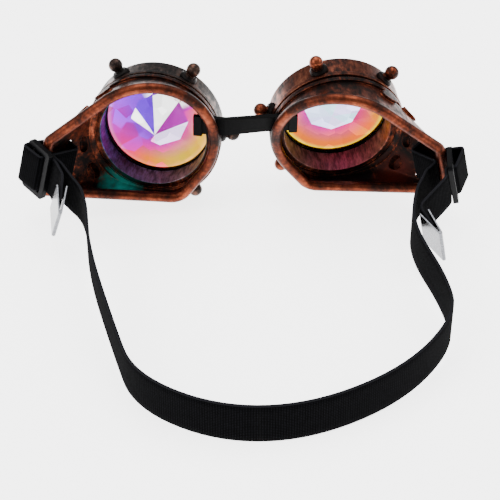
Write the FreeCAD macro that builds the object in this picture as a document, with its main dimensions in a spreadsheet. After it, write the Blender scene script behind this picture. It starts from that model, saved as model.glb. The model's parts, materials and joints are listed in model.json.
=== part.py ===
"""Cup goggles with screw-on lens rings, a rubber nose bridge and an elastic head strap.

Each half is drawn in its own cup frame: the origin at the middle of the lens's rear face,
Y along the lens axis away from the face, Z up, and X towards the temple, mirrored on the left.
The goggles stand on a table as they are laid down, each cup tipped and turned by its own angles.
Lengths are in millimetres and angles in degrees.
"""
import FreeCAD, Part
import os
from math import ceil, cos, degrees, radians, sin, tan

import Sketcher
from FreeCAD import Placement, Rotation, Vector

SIZES = {
    # How the two cups stand on the table
    "stud_gap": 3.8,
    "left_pitch": -5.8,
    "left_yaw": 7.6,
    "left_lift": 34.8,
    "left_forward": -1.6,
    "left_turn": 0.5,
    "right_pitch": 7.9,
    "right_yaw": 5.6,
    "right_lift": 39.1,
    "right_forward": 1.6,
    "right_turn": -13.1,
    # Bezel ring, measured from the lens's rear face
    "bezel_wall": 3.45,
    "bezel_front": 3.4,
    "bezel_rear": 10.6,
    "bezel_chamfer": 1.5,
    "bead_height": 0.8,
    "bead_width": 2.2,
    "lip_width": 1.5,
    "lip_thickness": 1.5,
    "thread_clearance": 0.05,
    "web_gap": 0.4,
    # Ball-headed studs round the bezel
    "stud_count": 6,
    "stud_edge": 5.4,
    "stud_sink": 0.4,
    "stud_collar_radius": 4.2,
    "stud_collar_height": 2.6,
    "stud_collar_edge": 1.0,
    "stud_neck_radius": 2.3,
    "stud_neck_height": 3.3,
    "stud_ball_radius": 3.3,
    "stud_shank_radius": 1.6,
    "stud_shank_length": 2.2,
    "stud_clearance": 0.1,
    # Cut crystal lens and its gasket
    "lens_seat": 1.1,
    "lens_clearance": 0.3,
    "crown_margin": 0.6,
    "crown_star_inset": 10.4,
    "crown_star_height": 4.4,
    "crown_height": 6.0,
    "crown_facets": 8,
    "gasket_thickness": 1.2,
    "gasket_reach": 0.5,
    "gasket_width": 1.5,
    # Moulded eye cup: threaded spigot and web
    "bore_radius": 25.4,
    "spigot_wall": 2.6,
    "web_thickness": 1.6,
    "barrel_lip_width": 1.6,
    "barrel_lip_height": 0.8,
    "cup_step": 0.5,
    "collar_height": 1.4,
    "collar_width": 2.2,
    "collar_gap": 1.5,
    "cup_wall": 2.0,
    "shoulder_land": 1.0,
    "shoulder_width": 1.8,
    "shoulder_height": 0.8,
    # Face rim of the cup, drawn in its own tilted plane
    "rim_depth": 26.0,
    "rim_yaw": 12.4,
    "rim_tilt": 6.8,
    "rim_flare": 1.0,
    "rim_rise": 3.0,
    "brow_angle": 51.5,
    "nose_angle": 216.0,
    "nose_corner": 9.0,
    "temple_length": 21.0,
    "temple_lean": 12.0,
    "temple_low": 23.2,
    "temple_corner": 4.0,
    "jaw_slope": 6.0,
    "rim_bead_radius": 2.5,
    "rim_bead_inset": 1.1,
    # Hooded vents in the temple side of the cup
    "vent_depth": 17.8,
    "vent_length": 4.2,
    "vent_height": 8.4,
    "vent_hood": 1.2,
    "vent_lip": 0.6,
    "vent_roof": 1.0,
    # Nose bridge and its slots
    "bridge_rise": 9.5,
    "bridge_inset": 1.7,
    "bridge_depth": 15.8,
    "bridge_height": 8.5,
    "bridge_thickness": 2.6,
    "bridge_lug_length": 5.7,
    "bridge_neck_radius": 1.7,
    "bridge_slot_clearance": 0.4,
    "bridge_slot_width": 4.6,
    "bridge_stop_depth": 9.3,
    "bridge_stop_length": 4.0,
    "bridge_stop_offset": 0.8,
    "bridge_stop_lap": 0.4,
    # Elastic strap, its temple slots, sliders and end clips
    "strap_width": 20.0,
    "strap_thickness": 1.3,
    "strap_clearance": 0.35,
    "strap_slot_place": 16.0,
    "strap_slot_width": 3.0,
    "strap_slot_clearance": 0.6,
    "strap_inner_dip": 2.0,
    "strap_fold": 1.2,
    "strap_bend": 2.0,
    "tail_bend": 8.0,
    "tail_gap": 1.4,
    "slider_thickness": 2.5,
    "slider_window": 3.6,
    "slider_middle_bar": 2.4,
    "slider_end_bar": 2.6,
    "slider_gap": 0.4,
    "slider_corner": 2.0,
    "left_slider_turn": 0.0,
    "left_slack": 0.8,
    "right_slider_turn": 45.0,
    "right_slack": 4.5,
    "clip_length": 14.0,
    "clip_mouth": 5.0,
    "clip_grip": 8.0,
    "clip_sheet": 0.6,
    "clip_overhang": 0.6,
    "clip_fold_gap": 0.7,
}

# Sizes that follow from the others, so that fitted pieces change together
FITTED = {
    "spigot_radius": "bore_radius + spigot_wall",
    "bezel_radius": "spigot_radius + thread_clearance + bezel_wall",
    "lens_radius": "bore_radius + lens_seat",
    "lens_pocket_radius": "lens_radius + lens_clearance",
    "lip_radius": "lens_radius - lip_width",
    "crown_radius": "lip_radius - crown_margin",
    "crown_star_radius": "crown_radius - crown_star_inset",
    "gasket_inner_radius": "bore_radius - gasket_reach",
    "gasket_outer_radius": "gasket_inner_radius + gasket_width",
    "barrel_lip_radius": "bore_radius + barrel_lip_width",
    "stud_depth": "bezel_rear - stud_edge",
    "stud_seat": "bezel_radius - stud_sink",
    "stud_ball_height": "stud_collar_height + stud_neck_height",
    "lens_spacing": "2 * (stud_seat + stud_ball_height + stud_ball_radius) + stud_gap",
    "cup_front_radius": "bezel_radius - cup_step",
    "rim_radius": "cup_front_radius + rim_flare",
    "temple_reach": "rim_radius + temple_length",
    "bridge_reach": "cup_front_radius - bridge_inset",
    "bridge_lug_outer": "bridge_reach + bridge_lug_length",
    "bridge_stop_reach": "bridge_reach - bridge_stop_depth",
    "slot_cut": "5 * cup_wall",
    "slider_half_width": "slider_middle_bar / 2 + slider_window + slider_end_bar",
}

doc = FreeCAD.newDocument("goggles")
dim = doc.addObject("Spreadsheet::Sheet", "dim")
cells = {alias: str(value) for alias, value in SIZES.items()}
cells.update({alias: f"={formula}" for alias, formula in FITTED.items()})
for row, alias in enumerate(cells, start=1):
    dim.set(f"A{row}", alias)
    dim.setAlias(f"B{row}", alias)
for row, text in enumerate(cells.values(), start=1):
    dim.set(f"B{row}", text)
doc.recompute()

X_AXIS = Vector(1, 0, 0)
Y_AXIS = Vector(0, 1, 0)
Z_AXIS = Vector(0, 0, 1)
SIDES = {"left": -1, "right": 1}
FULL_TURN = 360.0
# Lengths nearer than this count as equal
TOUCH = 0.001
# Turned pieces are drawn with their axis along Z, which this lays along the lens axis
OPTICAL = Placement(Vector(), Rotation(X_AXIS, -90))
sub_parts = []


def size(alias):
    return float(dim.get(alias))


def keep(obj, label, placement):
    """Name a finished sub-part, put it in its place and list it for export."""
    obj.Label = label
    obj.Placement = placement
    sub_parts.append(obj)
    return obj


def cup_frame(name):
    """Placement of one cup's own frame on the table."""
    side = SIDES[name]
    base = Vector(side * size("lens_spacing") / 2, size(f"{name}_forward"), size(f"{name}_lift"))
    yaw = Rotation(Z_AXIS, side * size(f"{name}_yaw"))
    return Placement(base, yaw.multiply(Rotation(X_AXIS, size(f"{name}_pitch"))))


def mirrored(side, vector):
    """A vector of the right half, or its mirror image on the left."""
    return Vector(side * vector.x, vector.y, vector.z)


def squared(axis, direction):
    """The unit direction nearest to the given one that is square to the axis."""
    return (direction - axis * direction.dot(axis)).normalize()


def plane_of(body, role):
    return next(f for f in body.Origin.OriginFeatures if f.Role == role)


def new_body(name):
    return doc.addObject("PartDesign::Body", name)


def sketch_on(body, name, role, lift=None):
    """Empty sketch on one of the body's own planes, lifted off it by a cell formula."""
    sketch = body.newObject("Sketcher::SketchObject", name)
    sketch.AttachmentSupport = (plane_of(body, role), "")
    sketch.MapMode = "FlatFace"
    if lift:
        sketch.setExpression("AttachmentOffset.Base.z", lift)
    return sketch


def bind(sketch, constraint, formula):
    sketch.setExpression(f"Constraints[{sketch.addConstraint(constraint)}]", formula)


def outline(body, name, role, corners, lift=None):
    """Closed sketch of straight edges whose corners are pairs of cell formulas."""
    sketch = sketch_on(body, name, role, lift)
    count = len(corners)
    turns = [radians(FULL_TURN) * i / count for i in range(count)]
    ring = [Vector(cos(turn), sin(turn), 0) for turn in turns]
    for i in range(count):
        sketch.addGeometry(Part.LineSegment(ring[i], ring[(i + 1) % count]))
    for i in range(count):
        sketch.addConstraint(Sketcher.Constraint("Coincident", i, 2, (i + 1) % count, 1))
    for i, (across, along) in enumerate(corners):
        bind(sketch, Sketcher.Constraint("DistanceX", -1, 1, i, 1, ring[i].x), across)
        bind(sketch, Sketcher.Constraint("DistanceY", -1, 1, i, 1, ring[i].y), along)
    return sketch


def round_outline(body, name, role, radius, centre=("0", "0"), lift=None):
    """Sketch of one circle whose radius and centre are cell formulas."""
    sketch = sketch_on(body, name, role, lift)
    sketch.addGeometry(Part.Circle(Vector(1, 1, 0), Z_AXIS, 1))
    bind(sketch, Sketcher.Constraint("Radius", 0, 1), radius)
    bind(sketch, Sketcher.Constraint("DistanceX", -1, 1, 0, 3, 1), centre[0])
    bind(sketch, Sketcher.Constraint("DistanceY", -1, 1, 0, 3, 1), centre[1])
    return sketch


def revolve(body, name, corners):
    """Turn a closed profile of (radius, height) formulas about the body's Z axis."""
    sketch = outline(body, f"{name}_profile", "XZ_Plane", corners)
    turned = body.newObject("PartDesign::Revolution", name)
    turned.Profile = sketch
    turned.ReferenceAxis = (sketch, ["V_Axis"])
    turned.Angle = FULL_TURN
    return turned


def extrude(body, kind, name, sketch, length, reverse=False, both=False):
    """Pad or Pocket of a sketch by a cell formula."""
    feature = body.newObject(f"PartDesign::{kind}", name)
    feature.Profile = sketch
    feature.setExpression("Length", length)
    feature.Reversed = reverse
    feature.Midplane = both
    return feature


def bezel_ring(name):
    """Screw ring: threaded bore behind, lens pocket, front lip, and a seat for every stud."""
    body = new_body(f"{name}_bezel")
    front = "dim.bezel_front"
    rear = "-dim.bezel_rear"
    bead = "dim.bezel_radius + dim.bead_height"
    lip_back = "dim.bezel_front - dim.lip_thickness"
    thread = "dim.spigot_radius + dim.thread_clearance"
    spigot_end = "-dim.gasket_thickness + dim.web_gap"
    revolve(body, f"{name}_bezel_turned", [
        (thread, rear),
        (bead, rear),
        (bead, "-dim.bezel_rear + dim.bead_width"),
        ("dim.bezel_radius", "-dim.bezel_rear + dim.bead_width + dim.bead_height"),
        ("dim.bezel_radius", "dim.bezel_front - dim.bezel_chamfer"),
        ("dim.bezel_radius - dim.bezel_chamfer", front),
        ("dim.lip_radius + dim.bezel_chamfer / 2", front),
        ("dim.lip_radius", "dim.bezel_front - dim.bezel_chamfer / 2"),
        ("dim.lip_radius", lip_back),
        ("dim.lens_pocket_radius", lip_back),
        ("dim.lens_pocket_radius", spigot_end),
        (thread, spigot_end),
    ])
    centre = ("0", "-dim.stud_depth")
    seat = round_outline(body, f"{name}_stud_seat", "XZ_Plane",
                         "dim.stud_collar_radius + dim.stud_clearance", centre, "dim.stud_seat")
    bore = round_outline(body, f"{name}_stud_bore", "XZ_Plane",
                         "dim.stud_shank_radius + dim.stud_clearance", centre,
                         "dim.stud_seat - dim.stud_shank_length - dim.stud_clearance")
    cuts = [extrude(body, "Pocket", f"{name}_stud_seat_cut", seat, "dim.stud_collar_radius", True),
            extrude(body, "Pocket", f"{name}_stud_bore_cut", bore, "dim.stud_collar_radius", True)]
    doc.recompute()
    round_the_ring = body.newObject("PartDesign::PolarPattern", f"{name}_stud_seats")
    round_the_ring.Originals = cuts
    round_the_ring.Axis = (plane_of(body, "Z_Axis"), [""])
    round_the_ring.Angle = FULL_TURN
    round_the_ring.setExpression("Occurrences", "dim.stud_count")
    body.Tip = round_the_ring
    turn = Placement(Vector(), Rotation(Y_AXIS, 90 - size(f"{name}_turn")))
    return keep(body, f"{name}_bezel_ring", cup_frame(name).multiply(turn).multiply(OPTICAL))


def bezel_studs(name):
    """Ball-headed studs, each with a collar on its flat seat and a shank in the ring."""
    for index in range(int(size("stud_count"))):
        body = new_body(f"{name}_stud_{index + 1}")
        revolve(body, f"{name}_stud_{index + 1}_turned", [
            ("0", "-dim.stud_shank_length"),
            ("dim.stud_shank_radius", "-dim.stud_shank_length"),
            ("dim.stud_shank_radius", "0"),
            ("dim.stud_collar_radius", "0"),
            ("dim.stud_collar_radius", "dim.stud_collar_height - dim.stud_collar_edge"),
            ("dim.stud_collar_radius - dim.stud_collar_edge", "dim.stud_collar_height"),
            ("dim.stud_neck_radius", "dim.stud_collar_height"),
            ("dim.stud_neck_radius", "dim.stud_ball_height"),
            ("0", "dim.stud_ball_height"),
        ])
        ball = body.newObject("PartDesign::AdditiveSphere", f"{name}_stud_{index + 1}_ball")
        ball.AttachmentSupport = (plane_of(body, "XY_Plane"), "")
        ball.MapMode = "FlatFace"
        ball.setExpression("Radius", "dim.stud_ball_radius")
        ball.setExpression("AttachmentOffset.Base.z", "dim.stud_ball_height")
        angle = size(f"{name}_turn") + index * FULL_TURN / size("stud_count")
        outwards = Placement(Vector(), Rotation(Y_AXIS, -angle))
        on_ring = Placement(Vector(size("stud_seat"), -size("stud_depth"), 0), Rotation(Y_AXIS, 90))
        place = cup_frame(name).multiply(outwards).multiply(on_ring)
        keep(body, f"{name}_bezel_stud_{index + 1}", place)


def crystal_lens(name):
    """Flat flange held by the bezel's lip, with a crown of flat facets in front of it."""
    flange = doc.addObject("Part::Cylinder", f"{name}_lens_flange")
    flange.setExpression("Radius", "dim.lens_radius")
    flange.setExpression("Height", "dim.bezel_front - dim.lip_thickness")
    doc.recompute()
    facets = int(size("crown_facets"))
    base = size("bezel_front") - size("lip_thickness")

    def ring(radius, height, count):
        turns = [radians(FULL_TURN) * i / count for i in range(count)]
        return [Vector(radius * cos(a), radius * sin(a), height) for a in turns]

    girdle = ring(size("crown_radius"), base, 2 * facets)
    star = ring(size("crown_star_radius"), base + size("crown_star_height"), facets)
    apex = Vector(0, 0, base + size("crown_height"))
    triangles = []
    for i in range(facets):
        after = (i + 1) % facets
        left, middle, right = girdle[2 * i], girdle[2 * i + 1], girdle[(2 * i + 2) % (2 * facets)]
        triangles += [(apex, star[i], star[after]), (star[i], left, middle),
                      (star[i], middle, star[after]), (star[after], middle, right)]
    faces = [Part.Face(Part.makePolygon([a, b, c, a])) for a, b, c in triangles]
    faces.append(Part.Face(Part.makePolygon(girdle + [girdle[0]])))
    crown = doc.addObject("Part::Feature", f"{name}_lens_crown")
    crown.Shape = Part.Solid(Part.Shell(faces))
    lens = doc.addObject("Part::Fuse", f"{name}_lens")
    lens.Base = flange
    lens.Tool = crown
    return keep(lens, f"{name}_crystal_lens", cup_frame(name).multiply(OPTICAL))


def lens_gasket(name):
    """Flat rubber ring between the spigot's end and the lens."""
    body = new_body(f"{name}_gasket")
    revolve(body, f"{name}_gasket_turned", [
        ("dim.gasket_inner_radius", "-dim.gasket_thickness"),
        ("dim.gasket_outer_radius", "-dim.gasket_thickness"),
        ("dim.gasket_outer_radius", "0"),
        ("dim.gasket_inner_radius", "0"),
    ])
    return keep(body, f"{name}_lens_gasket", cup_frame(name).multiply(OPTICAL))


def rim_point(side, across, up):
    """A point of the rim's plane in the cup frame, from its distance to the temple and up."""
    tilt = Rotation(Z_AXIS, -size("rim_yaw")).multiply(Rotation(X_AXIS, size("rim_tilt")))
    point = tilt.multVec(Vector(across, 0, up)) - Vector(0, size("rim_depth"), 0)
    return mirrored(side, point)


def corner_arc(before, corner, after, radius):
    """Start, middle and end of the arc that rounds a corner of straight runs."""
    back = (before - corner).normalize()
    ahead = (after - corner).normalize()
    half = back.getAngle(ahead) / 2
    bisector = (back + ahead).normalize()
    centre = corner + bisector * (radius / sin(half))
    reach = radius / tan(half)
    return corner + back * reach, centre - bisector * radius, corner + ahead * reach


def rim_lines(inset):
    """Straight runs of the rim as unit normals and distances: brow, temple, jaw and nose side."""
    def line(angle, through):
        normal = Vector(cos(radians(angle)), sin(radians(angle)), 0)
        return normal, normal.dot(through) - inset

    def tangent(angle):
        normal, distance = line(angle, Vector(0, size("rim_rise"), 0))
        return normal, distance + size("rim_radius")

    low_corner = Vector(size("temple_reach"), -size("temple_low"), 0)
    return {"brow": tangent(size("brow_angle")), "temple": line(size("temple_lean"), low_corner),
            "jaw": line(size("jaw_slope") - 90, low_corner), "nose": tangent(size("nose_angle"))}


def meeting(first, second):
    """Where two lines of the rim's plane cross."""
    (a, reach), (b, other) = first, second
    cross = a.x * b.y - a.y * b.x
    return Vector((reach * b.y - other * a.y) / cross, (other * a.x - reach * b.x) / cross, 0)


def rim_outline(side, inset):
    """Edges of the eye-shaped rim: round brow and nose side, straight to the temple and jaw."""
    radius = size("rim_radius") - inset
    centre = Vector(0, size("rim_rise"), 0)

    def on_round(angle):
        turn = radians(angle)
        return centre + Vector(radius * cos(turn), radius * sin(turn), 0)

    brow_angle, nose_angle = size("brow_angle"), size("nose_angle")
    brow, nose = on_round(brow_angle), on_round(nose_angle)
    runs = rim_lines(inset)
    temple_top = meeting(runs["brow"], runs["temple"])
    temple_end = meeting(runs["temple"], runs["jaw"])
    chin = meeting(runs["jaw"], runs["nose"])
    chin_arc = corner_arc(nose, chin, temple_end, size("nose_corner") - inset)
    low_arc = corner_arc(chin, temple_end, temple_top, size("temple_corner") - inset)
    top_arc = corner_arc(temple_end, temple_top, brow, size("temple_corner") - inset)

    def placed(points):
        return [rim_point(side, p.x, p.y) for p in points]

    def arc(points):
        return Part.Arc(*placed(points)).toShape()

    def line(start, end):
        return Part.LineSegment(*placed([start, end])).toShape()

    return [arc([brow, on_round((brow_angle + nose_angle) / 2), nose]),
            line(nose, chin_arc[0]), arc(chin_arc), line(chin_arc[2], low_arc[0]), arc(low_arc),
            line(low_arc[2], top_arc[0]), arc(top_arc), line(top_arc[2], brow)]


# Where the arcs of the cup's round front end, so that each faces one edge of the rim: ahead of the
# brow, then both ends of the rounded chin, of the temple's lower corner and of its upper corner
BROW_LEAD = 10
CHIN_TURNS = [236, 264]
TEMPLE_TURNS = [308, 318, 378, 388]


def front_outline(side, radius, depth):
    """The cup's round front, cut into arcs that face the edges of the rim."""
    brow = size("brow_angle") + BROW_LEAD
    angles = [brow, size("nose_angle")] + CHIN_TURNS + TEMPLE_TURNS + [brow + FULL_TURN]

    def point(angle):
        turn = radians(angle)
        return Vector(side * radius * cos(turn), -depth, radius * sin(turn))

    return [Part.Arc(point(a), point((a + b) / 2), point(b)).toShape()
            for a, b in zip(angles, angles[1:])]


def wire_object(name, edges):
    wire = doc.addObject("Part::Feature", name)
    wire.Shape = Part.Wire(edges)
    return wire


def loft(name, front, rim):
    """Straight-ruled solid from the cup's round front to its rim."""
    solid = doc.addObject("Part::Loft", name)
    solid.Sections = [front, rim]
    solid.Solid = True
    solid.Ruled = True
    return solid


def web_depth():
    """Depth of the web's front face, just behind the bezel."""
    return size("bezel_rear") + size("web_gap")


def cup_spigot(name):
    """Threaded spigot, web and outer collar, turned in one profile."""
    body = new_body(f"{name}_spigot")
    web_front = "-dim.bezel_rear - dim.web_gap"
    web_back = f"{web_front} - dim.web_thickness"
    collar = "dim.cup_front_radius + dim.collar_height"
    collar_front = f"{web_front} - dim.collar_gap"
    collar_back = f"{collar_front} - dim.collar_width"
    land = "dim.cup_front_radius - dim.shoulder_land"
    inner = f"{land} - dim.shoulder_width"
    revolve(body, f"{name}_spigot_turned", [
        ("dim.bore_radius", "-dim.gasket_thickness"),
        ("dim.spigot_radius", "-dim.gasket_thickness"),
        ("dim.spigot_radius", web_front),
        ("dim.cup_front_radius", web_front),
        ("dim.cup_front_radius", collar_front),
        (collar, collar_front),
        (collar, collar_back),
        (land, collar_back),
        (inner, f"{collar_back} + dim.shoulder_height"),
        (inner, web_back),
        ("dim.barrel_lip_radius", web_back),
        ("dim.barrel_lip_radius", f"{web_back} - dim.barrel_lip_height"),
        ("dim.bore_radius", f"{web_back} - dim.barrel_lip_height"),
    ])
    body.Placement = OPTICAL
    return body


def temple_ends(inset):
    """Upper and lower end of the rim's leaning temple run, in the cup frame."""
    runs = rim_lines(inset)
    corners = [meeting(runs["brow"], runs["temple"]), meeting(runs["temple"], runs["jaw"])]
    return [rim_point(1, corner.x, corner.y) for corner in corners]


def temple_frame():
    """Origin, run, outward and upright directions of the temple wall's outer face."""
    top, low = temple_ends(0)
    end, upright = (top + low) / 2, (top - low).normalize()
    radius = size("cup_front_radius")
    front = Vector((radius ** 2 - end.z ** 2) ** 0.5, -web_depth(), end.z)
    run = squared(upright, end - front)
    return end - run * (end - front).dot(run), run, upright.cross(run), upright


def temple_point(side, along, out):
    """A point by the temple wall: along its run from the cup's front, and out from its face."""
    start, run, outward, _ = temple_frame()
    return mirrored(side, start + run * along + outward * out)


def bead_at_temple():
    """The rim bead's middle at the temple, along and out from the temple wall."""
    start, run, outward, _ = temple_frame()
    top, low = temple_ends(size("rim_bead_inset"))
    bead = (top + low) / 2 - start
    return bead.dot(run), bead.dot(outward)


def turned_box(name, length, width, height):
    """Box centred on its own origin, sized by cell formulas."""
    box = doc.addObject("Part::Box", name)
    for side, formula in zip(("Length", "Width", "Height"), (length, width, height)):
        box.setExpression(side, formula)
    doc.recompute()
    half = Vector(box.Length.Value / 2, box.Width.Value / 2, box.Height.Value / 2)
    return box, Placement(-half, Rotation())


def strap_slot(name):
    """Upright slot through the temple wall."""
    side = SIDES[name]
    box, centred = turned_box(f"{name}_strap_slot", "dim.strap_slot_width", "dim.slot_cut",
                              "dim.strap_width + 2 * dim.strap_slot_clearance")
    _, run, _, upright = temple_frame()
    run, upright = mirrored(side, run), mirrored(side, upright)
    turn = Rotation(run, upright.cross(run), upright, "XZY")
    place = temple_point(side, size("strap_slot_place"), -size("cup_wall"))
    box.Placement = Placement(place, turn).multiply(centred)
    return box


def bridge_anchor(side):
    """Middle of the bridge's neck in the slot of the nose wall."""
    return Vector(-side * size("bridge_reach"), -size("bridge_depth"), size("bridge_rise"))


def bridge_slot(name):
    """Slot through the nose wall for the bridge."""
    box, centred = turned_box(f"{name}_bridge_slot", "dim.slot_cut", "dim.bridge_slot_width",
                              "dim.bridge_height + 2 * dim.bridge_slot_clearance")
    box.Placement = Placement(bridge_anchor(SIDES[name]), Rotation()).multiply(centred)
    return box


# Directions of the vents round the lens axis, up from straight towards the temple
VENT_TURNS = [46, 20, -8, -33]


def vent_ovals(name, place, outset, grow):
    """Oval plugs fanned over the temple side, ending at a set height over the cup's wall."""
    side = SIDES[name]
    ovals = []
    for angle in VENT_TURNS:
        oval = Part.Ellipse(Vector(), size("vent_height") / 2 + grow, size("vent_length") / 2 + grow)
        plug = Part.Face(Part.Wire(oval.toShape())).extrude(Z_AXIS * size("cup_front_radius") / 2)
        aim = Rotation(Y_AXIS, -angle if side > 0 else angle - 180)
        start = Vector(size("bore_radius") + size("cup_wall"), -size("vent_depth"), 0)
        plug.Placement = Placement(Vector(), aim).multiply(Placement(start, Rotation(Y_AXIS, 90)))
        ovals.append(plug)
    fan = doc.addObject("Part::Feature", f"{name}_{place}_ovals")
    fan.Shape = Part.makeCompound(ovals)
    front = front_outline(side, size("cup_front_radius") + outset, web_depth())
    skin = loft(f"{name}_{place}_skin", wire_object(f"{name}_{place}_front", front),
                wire_object(f"{name}_{place}_rim", rim_outline(side, -outset)))
    plugs = doc.addObject("Part::Common", f"{name}_{place}")
    plugs.Base = fan
    plugs.Tool = skin
    return plugs


def eye_cup(name):
    """Moulded cup: shell from round front to eye-shaped rim, beaded edge, spigot and slots."""
    side = SIDES[name]
    wall, radius = size("cup_wall"), size("cup_front_radius")
    depth = web_depth() + size("collar_gap") + size("collar_width") / 2
    cavity_depth = web_depth() + size("web_thickness")
    outer = loft(f"{name}_cup_outer",
                 wire_object(f"{name}_cup_front", front_outline(side, radius, depth)),
                 wire_object(f"{name}_cup_rim", rim_outline(side, 0)))
    inner = loft(f"{name}_cup_inner",
                 wire_object(f"{name}_cavity_front", front_outline(side, radius - wall, cavity_depth)),
                 wire_object(f"{name}_cavity_rim", rim_outline(side, wall)))
    shell = doc.addObject("Part::Cut", f"{name}_cup_shell")
    shell.Base = outer
    shell.Tool = inner

    spine = wire_object(f"{name}_rim_spine", rim_outline(side, size("rim_bead_inset")))
    section = doc.addObject("Part::Circle", f"{name}_rim_section")
    section.setExpression("Radius", "dim.rim_bead_radius")
    brow = spine.Shape.Edges[0]
    start = brow.FirstParameter
    section.Placement = Placement(brow.valueAt(start), Rotation(Z_AXIS, brow.tangentAt(start)))
    bead = doc.addObject("Part::Sweep", f"{name}_rim_bead")
    bead.Sections = [section]
    bead.Spine = (spine, [f"Edge{i + 1}" for i in range(len(spine.Shape.Edges))])
    bead.Solid = True

    blank = doc.addObject("Part::MultiFuse", f"{name}_cup_blank")
    hoods = vent_ovals(name, "vent_hoods", size("vent_hood"), size("vent_lip"))
    hood_roofs = doc.addObject("Part::Cut", f"{name}_vent_roofs")
    hood_roofs.Base = hoods
    hood_roofs.Tool = inner
    blank.Shapes = [shell, cup_spigot(name), bead, hood_roofs]
    bore = doc.addObject("Part::Cylinder", f"{name}_cup_bore")
    bore.setExpression("Radius", "dim.bore_radius")
    bore.setExpression("Height", "dim.rim_depth")
    bore.Placement = OPTICAL.multiply(Placement(Vector(0, 0, -size("rim_depth")), Rotation()))
    openings = doc.addObject("Part::MultiFuse", f"{name}_cup_openings")
    openings.Shapes = [bore, strap_slot(name), bridge_slot(name),
                       vent_ovals(name, "vent_pockets", size("vent_hood") - size("vent_roof"), 0)]
    cup = doc.addObject("Part::Cut", f"{name}_cup")
    cup.Base = blank
    cup.Tool = openings
    return keep(cup, f"{name}_eye_cup", cup_frame(name))


def nose_bridge():
    """Rubber bridge: a twisted band between lugs that turn on round necks in the cup slots."""
    pieces, ends = [], []
    for name, side in SIDES.items():
        frame = cup_frame(name)
        anchor = bridge_anchor(side)
        outer, inner = size("bridge_lug_outer"), size("bridge_stop_reach")
        lug, centred = turned_box(f"{name}_bridge_lug", "2 * dim.bridge_lug_length",
                                  "dim.bridge_thickness", "dim.bridge_height")
        place = Vector(-side * size("bridge_reach"), anchor.y, anchor.z)
        lug.Placement = frame.multiply(Placement(place, Rotation())).multiply(centred)
        neck = doc.addObject("Part::Cylinder", f"{name}_bridge_neck")
        neck.setExpression("Radius", "dim.bridge_neck_radius")
        neck.setExpression("Height", "dim.bridge_height")
        foot = anchor - Z_AXIS * size("bridge_height") / 2
        neck.Placement = frame.multiply(Placement(foot, Rotation()))
        lap = "(dim.bridge_slot_clearance + dim.bridge_stop_lap)"
        stop, centred = turned_box(f"{name}_bridge_stop", "dim.bridge_stop_length",
                                   "dim.bridge_thickness", f"dim.bridge_height + 2 * {lap}")
        place = Vector(-side * (inner + size("bridge_stop_length") / 2),
                       anchor.y - size("bridge_stop_offset"), anchor.z)
        stop.Placement = frame.multiply(Placement(place, Rotation())).multiply(centred)
        pieces += [lug, neck, stop]
        half_y, half_z = size("bridge_thickness") / 2, size("bridge_height") / 2
        corners = [frame.multVec(Vector(-side * outer, anchor.y + y, anchor.z + z))
                   for y, z in ((-half_y, -half_z), (half_y, -half_z), (half_y, half_z), (-half_y, half_z))]
        ends.append(wire_object(f"{name}_bridge_end", Part.makePolygon(corners + [corners[0]]).Edges))
    pieces.append(loft("bridge_band", *ends))
    whole = doc.addObject("Part::MultiFuse", "bridge_whole")
    whole.Shapes = pieces
    return keep(whole, "nose_bridge", Placement())


def slider_middle(name):
    """The slider's middle behind the rim bead, along and out from the temple wall."""
    along, out = bead_at_temple()
    gap = size("rim_bead_radius") + size("slider_gap") + size("slider_thickness") / 2
    return along + gap / cos(radians(size(f"{name}_slider_turn"))), out


def slider_axes(name):
    """The slider's normal and width, turned by its own angle about the temple's upright, and that."""
    _, run, outward, upright = temple_frame()
    turn = Rotation(upright, size(f"{name}_slider_turn"))
    return [mirrored(SIDES[name], axis) for axis in (turn.multVec(run), turn.multVec(outward), upright)]


def slider_point(name, off, across):
    """A point by the slider: off its middle along its normal, and across it along its width."""
    normal, width, _ = slider_axes(name)
    return temple_point(SIDES[name], *slider_middle(name)) + normal * off + width * across


# Upright strap round the back of the head, from the left temple to the right: the corners of
# its path over the table and the height of its lower edge there
LOOP = [(-72.6, -56.0, 13.0), (-70.2, -86.0, 7.8), (-55.5, -134.5, 2.0), (-46.0, -163.0, 0.4),
        (-12.0, -182.5, 0.0), (26.0, -181.5, 0.0), (66.0, -159.5, 0.6), (89.5, -128.0, 2.6),
        (87.5, -106.0, 4.6), (74.8, -74.0, 9.2), (77.2, -53.0, 12.2)]
# Middles of the mouth and of the fold of the clip on each tail
TAILS = {"left": ((-86.2, -49.5, 26.0), (-86.2, -62.4, 20.5)),
         "right": ((82.7, -60.4, 18.0), (87.6, -69.8, 16.0))}
# Largest turn between two cuts of a bend, and the share of a straight run that a bend may take
ARC_STEP = 24
BEND_SHARE = 0.45


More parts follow.
